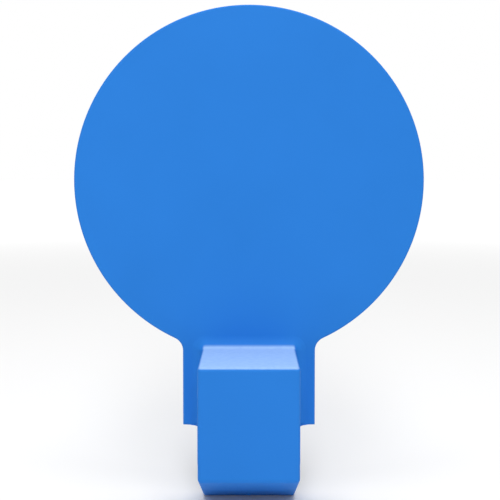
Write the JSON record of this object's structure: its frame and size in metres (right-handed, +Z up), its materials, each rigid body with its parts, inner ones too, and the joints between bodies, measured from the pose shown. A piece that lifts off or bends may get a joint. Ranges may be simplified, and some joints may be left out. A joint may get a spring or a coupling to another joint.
{
  "type": "ice fishing tip up",
  "caption": "Signal disc unit of an ice fishing tip-up: a round disc on a boxed foot springs upright on a screw-down hinge bracket when the line swings its trip lever.",
  "frame": {"origin": "on the board under the bracket's flange, midway between its two screw holes", "axes": "+Z up along the upright disc, the front of the disc looks along -Y, +X across the disc and along the hinge pin"},
  "size_m": [0.1, 0.0569, 0.1409],
  "materials": {
    "signal_blue": "moulded, satin gloss",
    "cover_blue": "moulded, satin",
    "bracket_paint": "dark grey powder coat on a zinc casting",
    "zinc_steel": "bright zinc plate",
    "pin_steel": "ground steel",
    "lever_steel": "stamped stainless steel",
    "spring_steel": "drawn spring wire",
    "bronze": "sintered bronze",
    "brass": "rolled brass",
    "white_nylon": "natural nylon",
    "black_rubber": "soft rubber"
  },
  "bodies": {
    "hinge_base": {"hinge_bracket": "bracket_paint", "arm_bush": "bronze", "trip_pin": "zinc_steel", "trip_washer": "white_nylon", "trip_pin_clip": "spring_steel"},
    "disc_assembly": {"signal_disc": "signal_blue", "foot_back_cover": "cover_blue", "cover_screws": "zinc_steel", "upright_stop_pad": "black_rubber", "hinge_pin": "pin_steel", "spring_sleeve": "white_nylon", "spacer_sleeve": "white_nylon", "torsion_spring": "spring_steel"},
    "lever_assembly": {"trip_lever": "lever_steel", "line_eyelet": "brass"}
  },
  "joints": [
    {"name": "disc_fold", "type": "hinge", "parent": "hinge_base", "child": "disc_assembly", "pos_m": [0, -0.0275, 0.0148], "axis": [1, 0, 0], "range_deg": [0, 90], "stiffness_Nm_per_rad": 0.02, "springref_deg": -90, "deforming": ["torsion_spring"]},
    {"name": "lever_trip", "type": "hinge", "parent": "hinge_base", "child": "lever_assembly", "pos_m": [0, -0.0017, 0.0293], "axis": [1, 0, 0], "range_deg": [0, 30]}
  ]
}
